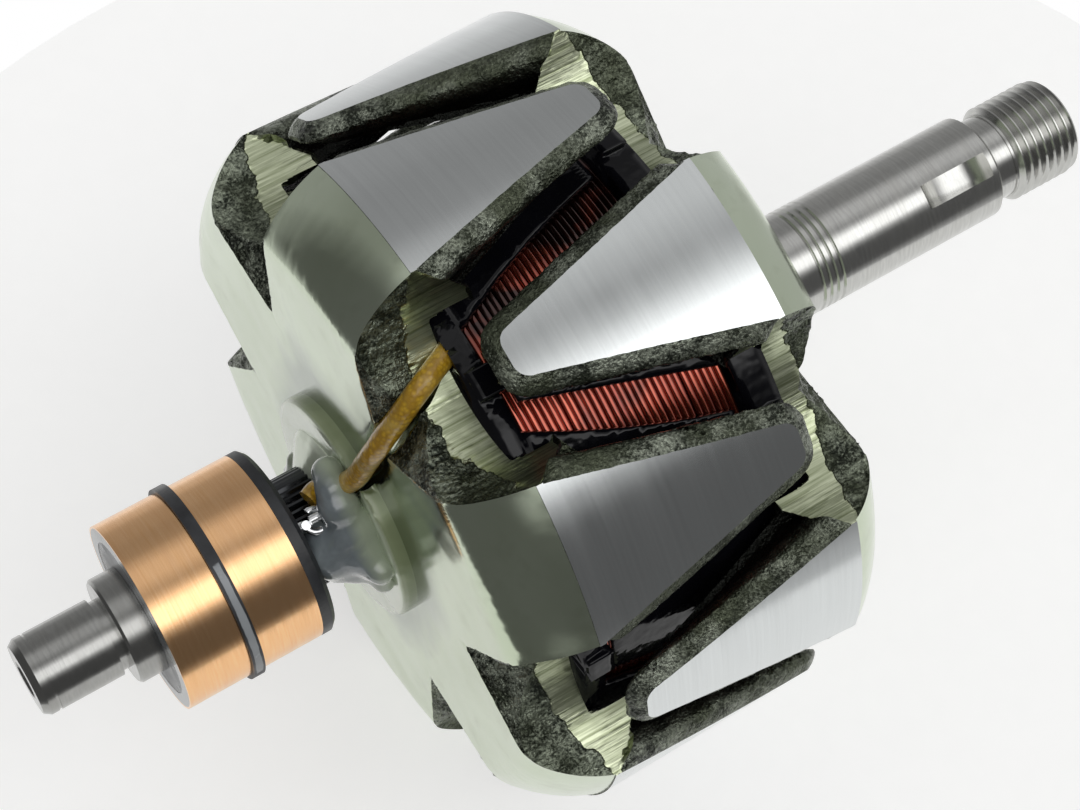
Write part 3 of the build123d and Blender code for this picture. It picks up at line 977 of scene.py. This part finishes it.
def varnish_fillet():
    """A slightly lumpy ring with that outline."""
    outline = smooth_path([Vector((x, r, 0)) for x, r in FILLET], 6)
    verts, faces = [], []
    count = len(outline)
    for i in range(FILLET_STEPS):
        a = 2 * math.pi * i / FILLET_STEPS
        lump = 0.22 * noise.noise(Vector((math.cos(a), math.sin(a), 0)) * 2.2)
        for x, r, _ in outline:
            out = max(r - SEAT_R, 0.0) / 4
            verts.append(((x - lump * out) * MM, -(r + lump * out) * math.sin(a) * MM,
                          (r + lump * out) * math.cos(a) * MM))
    for i in range(FILLET_STEPS):
        here, ahead = i * count, (i + 1) % FILLET_STEPS * count
        for j in range(count):
            k = (j + 1) % count
            faces.append((here + j, here + k, ahead + k, ahead + j))
    new_piece("varnish_fillet", smooth_mesh("varnish_fillet", verts, faces), [POOL],
              "potting_resin")


varnish_fillet()


# camera, as fitted to the photograph

CAMERA_AT = (-167.3372, -169.5531, 319.8766)
CAMERA_TO = (-58.8261, -0.6705, 0.0)
LENS = 84.9398
SENSOR = 36.0


def add_camera():
    data = bpy.data.cameras.new("photo_camera")
    data.sensor_width = SENSOR
    data.lens = LENS
    data.clip_start = 10 * MM
    camera = bpy.data.objects.new("photo_camera", data)
    bpy.context.scene.collection.objects.link(camera)
    look = (Vector(CAMERA_TO) - Vector(CAMERA_AT)).to_track_quat("-Z", "Y")
    camera.matrix_world = Matrix.Translation(Vector(CAMERA_AT) * MM) @ look.to_matrix().to_4x4()
    bpy.context.scene.camera = camera


# light: the level of the studio by direction round the shaft, and what takes its place ahead of
# the threaded end and behind the stub, between two values of the direction's x

STUDIO = [(-180, 0.85), (-138, 0.95), (-117, 0.75), (-101, 0.55), (-85, 0.36), (-69, 0.33),
          (-53, 0.29), (-38, 0.3), (-28, 0.5), (-20, 0.68), (-5, 0.68), (3, 0.55), (10, 0.4),
          (16, 0.56), (23, 1.1), (29, 1.9), (46, 1.9), (52, 1.0), (58, 0.35), (66, 0.11),
          (104, 0.11), (112, 0.28), (122, 0.5), (140, 0.6), (180, 0.85)]
STUDIO_POWER = 3.0
ENDS = [((0.55, 0.9), 0.51), ((-0.45, -0.68), 0.12)]


def bands(n, value):
    """The studio's levels along a value from 0 to 1, as shares of its power."""
    node = n.add("ShaderNodeValToRGB")
    n.set(node.inputs[0], value)
    ramp = node.color_ramp
    ramp.interpolation = "EASE"
    stops = [((angle + 180) / 360, (*[level / STUDIO_POWER] * 3, 1)) for angle, level in STUDIO]
    for stop, (spot, colour) in zip(ramp.elements, (stops[0], stops[-1])):
        stop.position, stop.color = spot, colour
    for spot, colour in stops[1:-1]:
        ramp.elements.new(spot).color = colour
    return node.outputs[0]


def background(n, colour, strength):
    node = n.add("ShaderNodeBackground")
    n.set(node.inputs["Color"], colour)
    n.set(node.inputs["Strength"], strength)
    return node.outputs[0]


def add_world():
    """Grey bands round the shaft's line light the part, and the camera sees plain white."""
    world = bpy.data.worlds.new("studio")
    bpy.context.scene.world = world
    world.use_nodes = True
    world.node_tree.nodes.clear()
    n = Nodes(world.node_tree)
    x, y, z = n.split(n.add("ShaderNodeTexCoord").outputs["Generated"])
    turn = n.math("ARCTAN2", n.math("MULTIPLY", y, -1.0), z)
    level = bands(n, n.math("ADD", n.math("DIVIDE", turn, 2 * math.pi), 0.5))
    for (edge, full), grey in ENDS:
        level = n.mix(n.remap(x, edge, full), level, (grey / STUDIO_POWER,) * 3)
    seen = n.add("ShaderNodeLightPath").outputs["Is Camera Ray"]
    mix = n.add("ShaderNodeMixShader")
    for socket, value in zip(mix.inputs, (seen, background(n, level, STUDIO_POWER),
                                          background(n, (1, 1, 1), 1.0))):
        n.set(socket, value)
    n.set(n.add("ShaderNodeOutputWorld").inputs[0], mix.outputs[0])


# floor: a pale round sheet just under the claws

FLOOR_R = 150.0
FLOOR_X = -50.0
FLOOR_GAP = 0.3


def pale_floor(name):
    """Nearly white; what sees it directly or in a reflection gets some light on top."""
    m = Mat(name, Roughness=0.9, Specular_IOR_Level=0.1, Emission_Color=(1, 1, 1))
    grain = m.noise(m.coords, scale=300, detail=2.0)
    m.put(Base_Color=m.mix(m.remap(grain, *MOST), (0.60, 0.60, 0.59), (0.62, 0.62, 0.61)))
    path = m.add("ShaderNodeLightPath")
    seen = m.math("MAXIMUM", path.outputs["Is Camera Ray"],
                  m.math("MAXIMUM", path.outputs["Is Glossy Ray"],
                         path.outputs["Is Transmission Ray"]))
    m.put(Emission_Strength=m.math("MULTIPLY", seen, 0.55))
    return m.mat


def add_floor():
    centre = Vector((FLOOR_X, 0, -ROTOR_R - FLOOR_GAP)) * MM
    bm = bmesh.new()
    bmesh.ops.create_circle(bm, cap_ends=True, segments=96, radius=FLOOR_R * MM,
                            matrix=Matrix.Translation(centre))
    mesh = mesh_of("floor", bm)
    mesh.materials.append(pale_floor("pale_floor"))
    floor = bpy.data.objects.new("floor", mesh)
    bpy.context.scene.collection.objects.link(floor)


add_camera()
add_world()
add_floor()
bpy.context.scene.view_settings.view_transform = "Standard"
